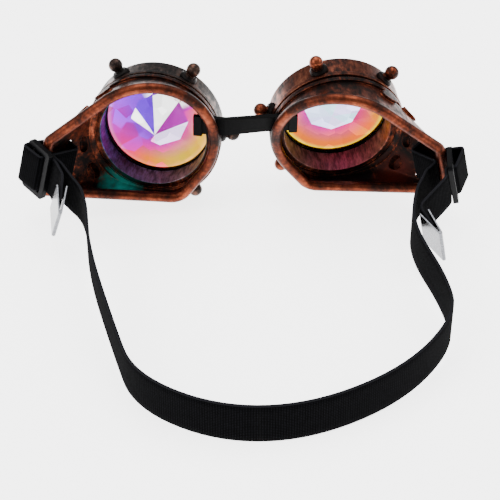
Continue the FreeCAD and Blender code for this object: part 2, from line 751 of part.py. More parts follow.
def strap_stops(name):
    """Corners of one end of the strap, from the head loop through cup and slider to its tail."""
    side = SIDES[name]
    frame = cup_frame(name)
    half, clear = size("strap_thickness") / 2, size("strap_clearance")
    slot, fold, bend = size("strap_slot_place"), size("strap_fold"), size("strap_bend")
    along, out = bead_at_temple()
    past_bead = size("rim_bead_radius") + clear + half
    main = along + size("rim_bead_radius") + size("slider_gap") - 2 * clear - 3 * half
    past_slider = size("slider_half_width") + size("tail_gap")
    by_cup = [(main, out - past_slider - bend, 3 * bend), (main, out - past_bead, bend),
              (slot, out - past_bead - size("strap_inner_dip"), bend), (slot, out + past_bead, bend)]
    face = size("slider_thickness") / 2 + clear + half
    window = (size("slider_middle_bar") + size("slider_window")) / 2
    wrap = size("slider_half_width") + clear + half
    by_slider = [(-face, wrap, bend), (face + size(f"{name}_slack"), wrap, bend),
                 (face, -window, fold), (-face, -window, fold), (-face, -past_slider, size("tail_bend"))]
    corners = [(temple_point(side, a, o), radius) for a, o, radius in by_cup]
    corners += [(slider_point(name, off, across), radius) for off, across, radius in by_slider]
    upright = frame.Rotation.multVec(slider_axes(name)[2])
    stops = [(frame.multVec(corner), radius, upright) for corner, radius in corners]
    mouth, fold_middle = (Vector(*place) for place in TAILS[name])
    heading = (fold_middle - mouth).normalize()
    return stops + [(mouth - heading * size("tail_bend") / 2, size("tail_bend"), upright),
                    (mouth + heading * size("clip_grip"), 0, upright)]


def strap_path():
    """Every corner of the strap from the left tail's end to the right tail's."""
    loop = [(Vector(x, y, low + size("strap_width") / 2), 0, Z_AXIS) for x, y, low in LOOP]
    return list(reversed(strap_stops("left"))) + loop + strap_stops("right")


def rounded(stops):
    """Points, headings and width directions along a path whose corners are rounded."""
    samples = [(stops[0][0], (stops[1][0] - stops[0][0]).normalize(), stops[0][2])]
    for (before, _, _), (corner, radius, across), (after, _, _) in zip(stops, stops[1:], stops[2:]):
        back, ahead = before - corner, after - corner
        turn = radians(FULL_TURN / 2) - back.getAngle(ahead)
        widest = BEND_SHARE * min(back.Length, ahead.Length) / tan(turn / 2)
        radius = min(radius, widest) if radius else widest
        back.normalize()
        ahead.normalize()
        start = corner + back * radius * tan(turn / 2)
        inward = (ahead - back * ahead.dot(back)).normalize()
        count = max(2, ceil(degrees(turn) / ARC_STEP))
        for i in range(count + 1):
            angle = turn * i / count
            point = start - back * radius * sin(angle) + inward * radius * (1 - cos(angle))
            samples.append((point, inward * sin(angle) - back * cos(angle), across))
    end, before = stops[-1], stops[-2]
    return samples + [(end[0], (end[0] - before[0]).normalize(), end[2])]


def elastic_strap():
    """One flat band folded through both cups and sliders, as a straight-ruled solid."""
    half_width, half = size("strap_width") / 2, size("strap_thickness") / 2
    sections = []
    for point, heading, across in rounded(strap_path()):
        wide = squared(heading, across) * half_width
        thick = heading.cross(wide).normalize() * half
        corners = [point + wide + thick, point + wide - thick,
                   point - wide - thick, point - wide + thick]
        sections.append(Part.makePolygon(corners + [corners[0]]))
    strap = doc.addObject("Part::Feature", "strap")
    strap.Shape = Part.makeLoft(sections, True, True)
    return keep(strap, "elastic_strap", Placement())


def strap_slider(name):
    """Three-bar slider: a plate across the temple end with two windows for the strap."""
    body = new_body(f"{name}_slider")
    window = "dim.strap_width / 2 + dim.strap_slot_clearance"
    middle = "dim.slider_middle_bar / 2"
    half_width = "dim.slider_half_width"
    half_height = f"({window} + dim.slider_end_bar)"

    def rectangle(sketch_name, low, high, half):
        return outline(body, f"{name}_{sketch_name}", "XY_Plane",
                       [(low, f"-({half})"), (high, f"-({half})"), (high, half), (low, half)])

    extrude(body, "Pad", f"{name}_slider_plate",
            rectangle("slider_edge", f"-{half_width}", half_width, half_height),
            "dim.slider_thickness", both=True)
    far = f"({middle} + dim.slider_window)"
    for place, low, high in (("near", f"-{far}", f"-{middle}"), ("far", middle, far)):
        extrude(body, "Pocket", f"{name}_slider_{place}_window",
                rectangle(f"slider_{place}_edge", low, high, window),
                "dim.slider_thickness * 2", both=True)
    doc.recompute()
    plate = body.Tip
    reach = max(v.Point.Length for v in plate.Shape.Vertexes)
    posts = [f"Edge{i}" for i, edge in enumerate(plate.Shape.Edges, start=1)
             if all(reach - v.Point.Length < TOUCH for v in edge.Vertexes)
             and abs(edge.Length - size("slider_thickness")) < TOUCH]
    corners = body.newObject("PartDesign::Fillet", f"{name}_slider_corners")
    corners.Base = (plate, posts)
    corners.setExpression("Radius", "dim.slider_corner")
    body.Tip = corners
    _, width, upright = slider_axes(name)
    turn = Rotation(width, upright, width.cross(upright), "XYZ")
    place = Placement(slider_point(name, 0, 0), turn)
    return keep(body, f"{name}_strap_slider", cup_frame(name).multiply(place))


def strap_clip(name):
    """Folded metal clip gripping the cut end of the strap, open like a V towards the strap."""
    body = new_body(f"{name}_clip")
    mouth = "-dim.clip_length"
    leaf = "dim.clip_mouth / 2"
    leaf_inside = f"({leaf} - dim.clip_sheet)"
    fold_inside = "dim.clip_fold_gap / 2"
    fold_outside = f"({fold_inside} + dim.clip_sheet)"
    sketch = outline(body, f"{name}_clip_section", "XY_Plane", [
        (mouth, leaf_inside), (mouth, leaf), ("0", fold_outside), ("0", f"-{fold_outside}"),
        (mouth, f"-{leaf}"), (mouth, f"-{leaf_inside}"),
        ("-dim.clip_sheet", f"-{fold_inside}"), ("-dim.clip_sheet", fold_inside)])
    span = "dim.strap_width + 2 * dim.clip_overhang"
    extrude(body, "Pad", f"{name}_clip_sheet", sketch, span, both=True)
    fold = body.newObject("PartDesign::AdditiveCylinder", f"{name}_clip_fold")
    fold.AttachmentSupport = (plane_of(body, "XY_Plane"), "")
    fold.MapMode = "FlatFace"
    fold.setExpression("Radius", fold_outside)
    fold.setExpression("Height", span)
    fold.setExpression("AttachmentOffset.Base.z", f"-({span}) / 2")
    path = rounded(strap_path())
    point, heading, across = path[0] if name == "left" else path[-1]
    if name == "left":
        heading = -heading
    wide = squared(heading, across)
    turn = Rotation(heading, wide.cross(heading), wide, "XYZ")
    end = point + heading * (size("clip_length") - size("clip_grip"))
    return keep(body, f"{name}_strap_clip", Placement(end, turn))


for cup_name in SIDES:
    eye_cup(cup_name)
    crystal_lens(cup_name)
    lens_gasket(cup_name)
    bezel_ring(cup_name)
    bezel_studs(cup_name)
    strap_slider(cup_name)
    strap_clip(cup_name)
nose_bridge()
elastic_strap()
doc.recompute()

# The finished goggles move so that the middle of their footprint on the table is the origin
extent = FreeCAD.BoundBox()
for obj in sub_parts:
    extent.add(obj.Shape.optimalBoundingBox(False))
shift = Vector(-extent.Center.x, -extent.Center.y, -extent.ZMin)
for obj in sub_parts:
    obj.Placement = Placement(shift, Rotation()).multiply(obj.Placement)
doc.recompute()

faults = [obj.Name for obj in doc.Objects if {"Invalid", "Error"} & set(obj.State)]
assert not faults, f"objects that failed to build: {faults}"
for obj in sub_parts:
    shape = obj.Shape
    assert not shape.isNull() and shape.isValid(), f"bad shape: {obj.Label}"
    assert len(shape.Solids) == 1, f"not one solid: {obj.Label}"

os.makedirs("parts", exist_ok=True)
for obj in sub_parts:
    obj.Shape.exportStep(f"parts/{obj.Label}.step")
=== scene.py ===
# %% [markdown]
# # Cup goggles with cut-crystal lenses
# These goggles lie on a white table with their strap towards us. The hard pieces come ready-made as
# a fixed frame, each in its place, and this lesson gives them their finishes and weaves the strap.
# Everything is in metres, in the frame's own axes: X to the right, Y the way the wearer looks, Z up.

# %% Load the frame
import json
from math import cos, pi, radians, sin

import bmesh
import bpy
from mathutils import Matrix, Vector


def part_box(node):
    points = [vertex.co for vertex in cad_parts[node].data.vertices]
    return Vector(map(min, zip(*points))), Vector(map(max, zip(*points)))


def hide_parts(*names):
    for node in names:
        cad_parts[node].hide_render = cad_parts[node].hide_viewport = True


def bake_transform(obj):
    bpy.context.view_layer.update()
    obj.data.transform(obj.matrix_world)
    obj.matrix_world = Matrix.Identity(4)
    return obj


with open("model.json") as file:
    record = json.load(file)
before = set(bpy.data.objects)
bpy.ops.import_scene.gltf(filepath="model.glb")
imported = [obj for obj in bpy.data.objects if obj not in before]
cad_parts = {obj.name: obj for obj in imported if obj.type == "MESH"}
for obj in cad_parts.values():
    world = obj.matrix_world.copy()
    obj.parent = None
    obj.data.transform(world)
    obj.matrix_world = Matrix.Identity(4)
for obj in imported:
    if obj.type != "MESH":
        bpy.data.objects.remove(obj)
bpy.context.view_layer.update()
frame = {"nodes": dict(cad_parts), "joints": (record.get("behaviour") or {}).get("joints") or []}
MM = 0.001
nodes = frame["nodes"]
joints = {joint["name"]: joint for joint in frame["joints"]}
SIDES = {"left": -1, "right": 1}

# %% [markdown]
# The camera stands behind and above the goggles, as someone sitting at the table would look at them.
# A long lens keeps the far cups nearly as large as the near strap. Its place was measured from the
# photograph, in millimetres, and its focal length is given in pixels of a 500 pixel wide picture.

# %% Camera
EYE = Vector((2.69, -562.2, 462.7)) * MM
AIM = Vector((2.69, 30.35, 0.0)) * MM
FOCAL_PIXELS = 1608.4
PICTURE_PIXELS = 500
SENSOR = 36.0
NEAREST_SEEN = 0.02

lens_data = bpy.data.cameras.new("table_camera")
lens_data.sensor_fit = "HORIZONTAL"
lens_data.sensor_width = SENSOR
lens_data.lens = SENSOR * FOCAL_PIXELS / PICTURE_PIXELS
lens_data.clip_start = NEAREST_SEEN
camera = bpy.data.objects.new("table_camera", lens_data)
camera.location = EYE
camera.rotation_euler = (AIM - EYE).to_track_quat("-Z", "Y").to_euler()
bpy.context.scene.collection.objects.link(camera)
bpy.context.scene.camera = camera
print("camera focal length:", round(lens_data.lens, 1), "mm")

# %% [markdown]
# Every finish is a small network of shader nodes. One helper adds a node and sets its properties, and
# gives each input a plain value or links it to another node's output. Another one turns the familiar
# hex colours of a paint chart into the linear numbers that the renderer adds light with.

# %% Helpers that build a finish
def linear(hex_colour):
    """Linear RGBA of an sRGB hex colour."""
    channels = [int(hex_colour[i:i + 2], 16) / 255 for i in (1, 3, 5)]
    return [c / 12.92 if c <= 0.04045 else ((c + 0.055) / 1.055) ** 2.4 for c in channels] + [1.0]


def feed(tree, node, inputs):
    """Give inputs their values; a value may also be the socket that feeds the input."""
    for name, value in inputs.items():
        if isinstance(value, bpy.types.NodeSocket):
            tree.links.new(value, node.inputs[name])
        else:
            node.inputs[name].default_value = value


def add(tree, kind, inputs=None, **settings):
    """Add a node with its settings, and feed its inputs."""
    node = tree.nodes.new(kind)
    for name, value in settings.items():
        setattr(node, name, value)
    feed(tree, node, inputs or {})
    return node


def finish_named(name):
    """A new material and its node tree, with only the shader and the output in it."""
    material = bpy.data.materials.new(name)
    material.use_nodes = True
    return material, material.node_tree, material.node_tree.nodes["Principled BSDF"]


def dress(piece, material):
    """Give a piece of the frame its one material."""
    nodes[piece].data.materials.clear()
    nodes[piece].data.materials.append(material)


print("middle grey in linear light:", round(linear("#808080")[0], 3))

# %% [markdown]
# The finishes are worked out from a few kinds of step: sums and products of numbers, measures of
# vectors, soft thresholds, mixtures of colours, and noise. Noise is sized in millimetres, so that a
# blotch on the copper has a size one could measure with a ruler.

# %% Steps of a finish
def number(tree, operation, *values):
    """Result of a math node on sockets or numbers."""
    return add(tree, "ShaderNodeMath", dict(enumerate(values)), operation=operation).outputs["Value"]


def vector(tree, operation, *values, result="Vector"):
    """Result of a vector math node on sockets or vectors."""
    return add(tree, "ShaderNodeVectorMath", dict(enumerate(values)), operation=operation).outputs[result]


def combined(tree, operation, terms):
    """Sockets or numbers joined by one operation, from the first to the last."""
    result = terms[0]
    for term in terms[1:]:
        result = number(tree, operation, result, term)
    return result


def total(tree, *terms):
    """Sum of several sockets or numbers."""
    return combined(tree, "ADD", terms)


def product(tree, *terms):
    """Product of several sockets or numbers."""
    return combined(tree, "MULTIPLY", terms)


def threshold(tree, value, low, high, start=0.0, end=1.0):
    """A soft step: start up to the low value, end from the high one on."""
    return add(tree, "ShaderNodeMapRange", {"Value": value, "From Min": low, "From Max": high,
                                            "To Min": start, "To Max": end}).outputs["Result"]


def mix(tree, factor, first, second, mode="MIX"):
    """Colour between two others, or another mixture of them."""
    return add(tree, "ShaderNodeMix", {"Factor": factor, "A": first, "B": second},
               data_type="RGBA", blend_type=mode).outputs["Result"]


def ramp(tree, factor, *stops, steps="LINEAR"):
    """Colour ramp from (position, hex colour) stops, smooth or in steps."""
    node = add(tree, "ShaderNodeValToRGB", {"Fac": factor})
    node.color_ramp.interpolation = steps
    while len(node.color_ramp.elements) < len(stops):
        node.color_ramp.elements.new(0.5)
    for element, (position, colour) in zip(node.color_ramp.elements, stops):
        element.position = position
        element.color = linear(colour)
    return node.outputs["Color"]


def per_mm(size):
    """Noise or wave scale for features of this many millimetres."""
    return 1 / (size * MM)


def noise(tree, place, size, detail, roughness=0.5):
    """Noise with features of this many millimetres, for a place in metres."""
    return add(tree, "ShaderNodeTexNoise", {"Vector": place, "Scale": per_mm(size), "Detail": detail,
                                            "Roughness": roughness}).outputs["Fac"]


# Radius in millimetres
EDGE_ROUNDING = 0.5


def soft_edges(tree):
    """Normal of the surface with its edges rounded a little."""
    return add(tree, "ShaderNodeBevel", {"Radius": EDGE_ROUNDING * MM}, samples=4).outputs["Normal"]


print("edges are rounded by", EDGE_ROUNDING, "mm in the finishes")

# %% [markdown]
# The table is a sheet of white paper on a light table, as for catalogue pictures. It glows strongly, so it
# lights the goggles from below and their shadows stay faint. Paper is a plain matt white, with a cloudiness
# so faint that it only just breaks the evenness. Its noise is laid over the table's own width and not over a
# metre, so that width is in its scale.

# %% White paper table
# The table in metres, and a cloud of its paper in millimetres
TABLE_HALF_WIDTH = 2.5
CLOUD = 10.0
PAPER_GLOW = 3.4

paper, tree, shader = finish_named("white_paper")
clouds = add(tree, "ShaderNodeTexNoise", {"Scale": 2 * TABLE_HALF_WIDTH * per_mm(CLOUD), "Detail": 4.0})
feed(tree, shader, {"Base Color": ramp(tree, clouds.outputs["Fac"], (0.3, "#fafafa"), (0.7, "#fefefe")),
                    "Roughness": 0.9, "Specular IOR Level": 0.2,
                    "Emission Color": linear("#ffffff"), "Emission Strength": PAPER_GLOW})

table_mesh = bpy.data.meshes.new("table")
grid = bmesh.new()
bmesh.ops.create_grid(grid, x_segments=8, y_segments=8, size=TABLE_HALF_WIDTH)
grid.to_mesh(table_mesh)
grid.free()
table = bpy.data.objects.new("table", table_mesh)
table.data.materials.append(paper)
bpy.context.scene.collection.objects.link(table)
print("table laid at height 0")

# %% [markdown]
# Soft light comes from large panels: one overhead, one on the left beside the camera and a lower one on
# the right. Metal shows what it reflects, so the panels give copper its bright strips, and the grey
# room between them gives it the dark ones.

# %% Lights
# Each panel's name, place, the point it faces, its width in metres and its power in watts
PANELS = [("overhead_panel", (0.1, 0.35, 1.3), (0.0, 0.0, 0.0), 1.3, 20.0),
          ("left_panel", (-1.1, -0.5, 0.9), (0.0, 0.0, 0.03), 0.9, 14.0),
          ("right_panel", (1.2, 0.1, 0.7), (0.0, 0.0, 0.03), 0.8, 8.0)]
ROOM_STRENGTH = 0.5

for name, place, aim, width, power in PANELS:
    light = bpy.data.lights.new(name, "AREA")
    light.shape = "SQUARE"
    light.size = width
    light.energy = power
    panel = bpy.data.objects.new(name, light)
    panel.location = place
    panel.rotation_euler = (Vector(aim) - Vector(place)).to_track_quat("-Z", "Y").to_euler()
    bpy.context.scene.collection.objects.link(panel)

room = bpy.data.worlds.new("studio_room")
room.use_nodes = True
feed(room.node_tree, room.node_tree.nodes["Background"],
     {"Color": linear("#ffffff"), "Strength": ROOM_STRENGTH})
bpy.context.scene.world = room
print("light panels:", len(PANELS))

# %% [markdown]
# Each cup has a frame of its own: the origin at the middle of the lens's rear face, Y along the lens
# axis, Z along the fold of the bridge. The joints of the frame tell where that is, so finishes can be
# brushed along the lens axis even though each cup lies tipped in its own way.

# %% Cup frames
cup_turns = {}
for name in SIDES:
    axis = Vector(joints[f"{name}_bezel_turn"]["axis"])
    upright = Vector(joints[f"{name}_fold"]["axis"])
    turn = Matrix((axis.cross(upright), axis, upright)).transposed()
    cup_turns[name] = (Vector(joints[f"{name}_bezel_turn"]["pos_m"]), turn)
    print(name, "lens axis", [round(c, 3) for c in axis])


def cup_space(tree, name):
    """Position in the cup's own frame, with X towards the temple, and the normal turned likewise."""
    origin, turn = cup_turns[name]
    place = add(tree, "ShaderNodeTexCoord").outputs
    settings = {"Rotation": turn.to_euler(), "Scale": (SIDES[name], 1, 1)}
    at = add(tree, "ShaderNodeMapping", {"Vector": place["Object"], "Location": origin, **settings},
             vector_type="TEXTURE")
    facing = add(tree, "ShaderNodeMapping", {"Vector": place["Normal"], **settings}, vector_type="TEXTURE")
    return at.outputs["Vector"], facing.outputs["Vector"]


# %% [markdown]
# Three measures of a point in its cup's frame are used again and again: how far it is from the lens
# axis, its direction round that axis as a share of a full turn, and whether its surface looks out from
# the axis or in towards it. The share is 0 and 1 at the nose, a quarter at the jaw, a half at the temple
# and three quarters at the brow.

# %% Measures round the lens axis
def off_axis(tree, at):
    """The part of a position that is square to the lens axis."""
    return vector(tree, "MULTIPLY", at, (1, 0, 1))


def axis_distance(tree, at):
    """Distance from the lens axis."""
    return vector(tree, "LENGTH", off_axis(tree, at), result="Value")


def turn_share(tree, at):
    """Direction round the lens axis as a share of a full turn."""
    sides = add(tree, "ShaderNodeSeparateXYZ", {"Vector": at}).outputs
    return threshold(tree, number(tree, "ARCTAN2", sides["Z"], sides["X"]), -pi, pi)


def outward_look(tree, at, facing):
    """How far the surface looks away from the lens axis: 1 straight out, -1 straight in."""
    away = vector(tree, "NORMALIZE", off_axis(tree, at))
    return vector(tree, "DOT_PRODUCT", facing, away, result="Value")


print("cups with measures of their own:", len(cup_turns))

# %% [markdown]
# The cups, rings and studs are moulded plastic with antique copper plating: copper is laid on, stained
# nearly black, and then brushed so that the copper comes back on edges and in streaks. So the finish
# is a ramp from black stain to bright copper. It is driven by blotches a few millimetres wide, by
# streaks drawn out along the lens axis, and by larger stretches that were handled more or less. Edges are
# found by comparing the surface with a rounded copy of itself, and they get more copper. Each kind of
# piece adds its own rubbing on top.

# %% Antique copper plating
DARK_COPPER = [(0.36, "#0a0504"), (0.48, "#2c140d"), (0.58, "#57281a"), (0.72, "#87452e"),
               (0.92, "#b8704f")]
GREY_BRONZE = [(0.36, "#0c0908"), (0.48, "#251c1a"), (0.6, "#46362f"), (0.76, "#6a4438"),
               (0.94, "#96624e")]
BROWN_BRONZE = [(0.36, "#090504"), (0.48, "#20110d"), (0.6, "#47251c"), (0.76, "#73402f"),
                (0.94, "#a0644a")]
# Millimetres across a blotch of stain, a brushed streak and a handled stretch
BLOTCH, STREAK, STRETCH = 6.0, 1.8, 22.0
# Streaks are four times as long along the lens axis
STREAK_DRAW = (1.0, 0.25, 1.0)
STREAK_SHARE = 0.42
# Nearly all noise lies in the first range, and the plating's patches in the second
NOISE_RANGE, PATCH_RANGE = (0.3, 0.7), (0.2, 0.8)
HANDLING = 0.12
# How well the rounded copy agrees with the surface at an edge and off it, and the copper that an edge gets
EDGE_AGREEMENT, EDGE_COPPER = (0.86, 0.995), 0.16
# Wear from where to where the metal and the roughness change, and their values at either end
METAL, ROUGHNESS = (0.42, 0.62, 0.5, 0.92), (0.4, 0.75, 0.5, 0.3)
# Depth of the relief in millimetres
PLATE_RELIEF = 0.3


def copper_plate(name, cup, stops, shift, rub=None):
    """Antique copper on one cup's pieces: shift moves it towards copper, rub adds copper in places and may
    paint light on top.
    """
    material, tree, shader = finish_named(name)
    at, facing = cup_space(tree, cup)
    blotches = noise(tree, at, BLOTCH, 6.0, 0.68)
    streaks = noise(tree, vector(tree, "MULTIPLY", at, STREAK_DRAW), STREAK, 3.0, 0.7)
    both = {"Factor": STREAK_SHARE, "A": blotches, "B": streaks}
    stain = add(tree, "ShaderNodeMix", both).outputs["Result"]
    patches = threshold(tree, stain, *NOISE_RANGE, *PATCH_RANGE)
    handled = threshold(tree, noise(tree, at, STRETCH, 1.0), *NOISE_RANGE, -HANDLING, HANDLING)
    rounded = soft_edges(tree)
    surface = add(tree, "ShaderNodeNewGeometry").outputs["Normal"]
    flatness = vector(tree, "DOT_PRODUCT", rounded, surface, result="Value")
    edges = threshold(tree, flatness, *EDGE_AGREEMENT, EDGE_COPPER, 0.0)
    wear = total(tree, patches, handled, edges, shift)
    painted_lens_light = None
    if rub:
        rubbed, painted_lens_light = rub(tree, at, facing, streaks, patches)
        wear = total(tree, wear, rubbed)
    colour = ramp(tree, wear, *stops)
    # A cup's rubbing also gives the lens's coloured light, which is painted into the copper's colour here
    if painted_lens_light:
        colour = mix(tree, painted_lens_light[0], colour, painted_lens_light[1])
    relief = add(tree, "ShaderNodeBump", {"Height": stain, "Strength": 0.2, "Distance": PLATE_RELIEF * MM,
                                          "Normal": rounded})
    feed(tree, shader, {"Base Color": colour, "Metallic": threshold(tree, wear, *METAL),
                        "Roughness": threshold(tree, wear, *ROUGHNESS),
                        "Specular IOR Level": 0.12, "Normal": relief.outputs["Normal"]})
    return material


print("shades from black stain to copper:", len(DARK_COPPER))

# %% [markdown]
# On a cup, the thick bead round the face is rubbed to copper, while the hollow stays nearly black with a few
# red-brown patches. The bead is everything behind the rim's plane, which is turned and tilted in the cup's
# frame. The coated lens throws coloured light on the barrel behind it and on the lower wall, and this light
# is painted into their colour: on the barrel it follows the direction round the axis, and on the wall it
# fades out from one place.

# %% Rubbed places of a cup, and the lens's light painted on them
RIM_YAW, RIM_TILT = radians(12.4), radians(6.8)
rim_turn = Matrix.Rotation(-RIM_YAW, 3, "Z") @ Matrix.Rotation(RIM_TILT, 3, "X")
RIM_NORMAL = rim_turn @ Vector((0, 1, 0))
# Where the bead ends and the wall begins, along the rim's normal
BEAD_PLANE = (-23.4 * MM, -22.4 * MM)
# Copper added to the bead's darkest and brightest patches, which evens them out
BEAD_EVENING = (0.2, -0.1)
# A surface looks into the hollow below the first of these, and not at all above the second
HOLLOW_FACING = (-0.3, 0.1)
BARREL_RADIUS = 25.4
BARREL_EDGE = ((BARREL_RADIUS + 0.1) * MM, (BARREL_RADIUS + 0.3) * MM)
# Each stop is a share of a turn round the axis and a colour of the lens's light painted on the barrel,
# brightest from the nose to the jaw and darkest at the brow
LENS_LIGHT = {
    "left": [(0.0, "#a08478"), (0.16, "#c098a2"), (0.3, "#b490c8"), (0.46, "#5258b4"), (0.7, "#2a2236"),
             (1.0, "#a08478")],
    "right": [(0.0, "#968a86"), (0.14, "#b88a80"), (0.28, "#d8647c"), (0.42, "#b87864"), (0.7, "#3a2620"),
              (1.0, "#968a86")]}
# Middle of the lens's coloured light painted on the lower wall, in the cup's frame in millimetres, and its
# colour
WALL_LIGHT = {"left": ((15, -19, -25), "#0cc0b0"), "right": ((26, -24, -20), "#4c150c")}
# Millimetres of full light, of fading out, and by how much the brushing frays it
WALL_LIGHT_CORE, WALL_LIGHT_REACH, WALL_LIGHT_FRAY = 4.0, 11.0, 6.0
WALL_LIGHT_EDGE = (WALL_LIGHT_CORE * MM, (WALL_LIGHT_REACH + WALL_LIGHT_CORE) * MM)
WALL_LIGHT_STRENGTH = 0.9
HOLLOW_STAIN = {"left": -0.05, "right": -0.12}


def rubbed_cup(cup):
    """Rubbing of a cup: copper bead, dark hollow, and the lens's coloured light painted on the barrel and
    lower wall.
    """
    def rub(tree, at, facing, streaks, patches):
        """The copper to add, and the strength and colour of the painted lens light."""
        from_rim = vector(tree, "DOT_PRODUCT", at, RIM_NORMAL, result="Value")
        on_bead = threshold(tree, from_rim, *BEAD_PLANE, 1.0, 0.0)
        off_bead = threshold(tree, from_rim, *BEAD_PLANE)
        bead = product(tree, threshold(tree, patches, *PATCH_RANGE, *BEAD_EVENING), on_bead)
        inside = threshold(tree, outward_look(tree, at, facing), *HOLLOW_FACING, 1.0, 0.0)
        hollow = product(tree, inside, HOLLOW_STAIN[cup], off_bead)
        in_barrel = product(tree, threshold(tree, axis_distance(tree, at), *BARREL_EDGE, 1.0, 0.0), off_bead)
        # The lens's light painted on the lower wall, fading out from one place and frayed by the brushing
        place, wall_painted_light = WALL_LIGHT[cup]
        away = vector(tree, "DISTANCE", at, Vector(place) * MM, result="Value")
        frayed = total(tree, away, product(tree, streaks, WALL_LIGHT_FRAY * MM))
        lit = threshold(tree, frayed, *WALL_LIGHT_EDGE, WALL_LIGHT_STRENGTH, 0.0)
        on_wall = product(tree, lit, off_bead, inside)
        # The lens's light painted on the barrel, by direction round the axis and streaked by the brushing
        brushed = ramp(tree, streaks, (0.36, "#8c8486"), (0.5, "#c8c0c0"), (0.66, "#f8f4f4"))
        thrown = ramp(tree, turn_share(tree, at), *LENS_LIGHT[cup])
        barrel_painted_light = mix(tree, 1.0, thrown, brushed, "MULTIPLY")
        colour = mix(tree, in_barrel, linear(wall_painted_light), barrel_painted_light)
        return total(tree, bead, hollow), (number(tree, "MAXIMUM", on_wall, in_barrel), colour)
    return rub


print("rim normal in the cup's frame:", [round(c, 3) for c in RIM_NORMAL])

# %% [markdown]
# On a stud, the ball is rubbed bright and the collar below it keeps its stain. The two are told apart by
# their distance from the lens axis. The left ring and studs get greyer ramps and a smaller shift towards
# copper than the right ones, so each side has its own ramps and its own shift towards copper.

# %% Plate the cups, rings and studs
# Where the ball begins, as distances from the lens axis
BALL_STARTS = (33.8 * MM, 34.8 * MM)
COLLAR_STAIN, BALL_COPPER = -0.24, 0.06
STUDS = 6
# For each side the ring's ramp and shift, and the studs' ramp and shift
PLATING = {"left": (GREY_BRONZE, 0.03, GREY_BRONZE, 0.0), "right": (BROWN_BRONZE, 0.16, DARK_COPPER, 0.06)}


def rubbed_ball(tree, at, facing, streaks, patches):
    """Copper on the stud's ball and stain on its collar."""
    return threshold(tree, axis_distance(tree, at), *BALL_STARTS, COLLAR_STAIN, BALL_COPPER), None


for cup, (ring_stops, ring_shift, ball_stops, ball_shift) in PLATING.items():
    shell = copper_plate(f"{cup}_cup_antique_copper", cup, DARK_COPPER, 0.0, rubbed_cup(cup))
    ring = copper_plate(f"{cup}_ring_antique_copper", cup, ring_stops, ring_shift)
    balls = copper_plate(f"{cup}_stud_antique_copper", cup, ball_stops, ball_shift, rubbed_ball)
    plates = {f"{cup}_eye_cup": shell, f"{cup}_bezel_ring": ring}
    plates.update({f"{cup}_bezel_stud_{i + 1}": balls for i in range(STUDS)})
    for piece, material in plates.items():
        dress(piece, material)
    print(cup, "plated pieces:", len(plates))

# %% [markdown]
# The lenses are cut crystal with a dichroic coating: a stack of films so thin that each facet lets
# through one hue and throws back another. The colours below are those of the light that is let through,
# by the direction round the lens. The shallow facets in the middle show a few sharp shards, some of them
# white. The steep ones round them run through the rainbow in two bands, from violet at the temple to
# yellow at the nose on the left, and from magenta to a yellow edge on the right.

# %% Colours of the dichroic coat
# Each stop is a share of a turn round the lens and a colour
SHARDS = {
    "left": [(0.0, "#d7c4f0"), (0.25, "#fb9ce4"), (0.33, "#820d8e"), (0.4, "#720db6"), (0.6, "#ffffff"),
             (0.66, "#520db1"), (0.745, "#feffff"), (0.836, "#800d7c"), (0.92, "#d7c4f0")],
    "right": [(0.0, "#cbd0fe"), (0.2, "#ddd1ff"), (0.4, "#c0e4fe"), (0.52, "#d7ccff"), (0.7, "#bae3f7"),
              (0.86, "#cbdcff")]}
INNER_BAND = {
    "left": [(0.0, "#b40d78"), (0.2, "#a40d73"), (0.3, "#940d80"), (0.42, "#840d9b"), (0.55, "#740ec0"),
             (0.7, "#530db0"), (0.76, "#ffffff"), (0.83, "#ffffff"), (0.86, "#8f0d89"), (0.94, "#a60d82"),
             (1.0, "#b40d78")],
    "right": [(0.0, "#a60d87"), (0.1, "#9c0d75"), (0.25, "#a20d73"), (0.36, "#bf0f64"), (0.5, "#af0d60"),
              (1.0, "#a60d87")]}
OUTER_BAND = {
    "left": [(0.0, "#b8700c"), (0.14, "#b0900c"), (0.2, "#b8880c"), (0.25, "#cd680f"), (0.31, "#d81852"),
             (0.37, "#b00d77"), (0.43, "#9f0d86"), (0.5, "#9b0da5"), (0.57, "#8911d6"), (0.64, "#670fcd"),
             (0.72, "#570db3"), (0.76, "#ffffff"), (0.83, "#ffffff"), (0.86, "#e315b4"), (0.92, "#c80f25"),
             (1.0, "#b8700c")],
    "right": [(0.0, "#be5c0d"), (0.12, "#bc590d"), (0.25, "#c8590f"), (0.36, "#d7561a"), (0.5, "#a96b0d"),
              (0.7, "#c8590f"), (1.0, "#be5c0d")]}
# Where the shards meet, beside the lens axis, in millimetres in the cup's frame
CRYSTAL_POINT = {"left": (2.7, 0, -8.8), "right": (0, 0, -6.0)}
# Colour and strength of the lens's edge
EDGE_GLOW = {"left": ("#ffa77c", 0.2), "right": ("#cab70d", 0.75)}
print("hues round the left lens:", len(OUTER_BAND["left"]), "and the right one:", len(OUTER_BAND["right"]))

# %% [markdown]
# Clear glass does the bending of light, and the coat goes on the faceted side as a colour filter. Distances
# from the lens axis tell where one band of the rainbow passes into the next. Small cells make the hue wander
# and dim it unevenly, as the films do. Light is tinted by the square root of the colour at each surface, so
# the colours go in squared.

# %% Cut crystal with a dichroic coat
# Millimetres across a cell of the coat, and the share of a turn that its hue wanders
CRYSTAL_CELL = 7.0
HUE_WANDER = 0.07
# Distances from the axis over which the bands, the bright edge and the middle's shards change
BAND_CHANGE = (13.5 * MM, 21.0 * MM)
EDGE_CHANGE = (22.6 * MM, 24.2 * MM)
SHARD_END = (19.0 * MM, 20.0 * MM)
# A facet is shallow where its normal lies this nearly along the lens axis
SHALLOW = (0.95, 0.96)
# Depth in front of the lens's rear face at which the coat begins
COAT_START = (0.04 * MM, 0.1 * MM)


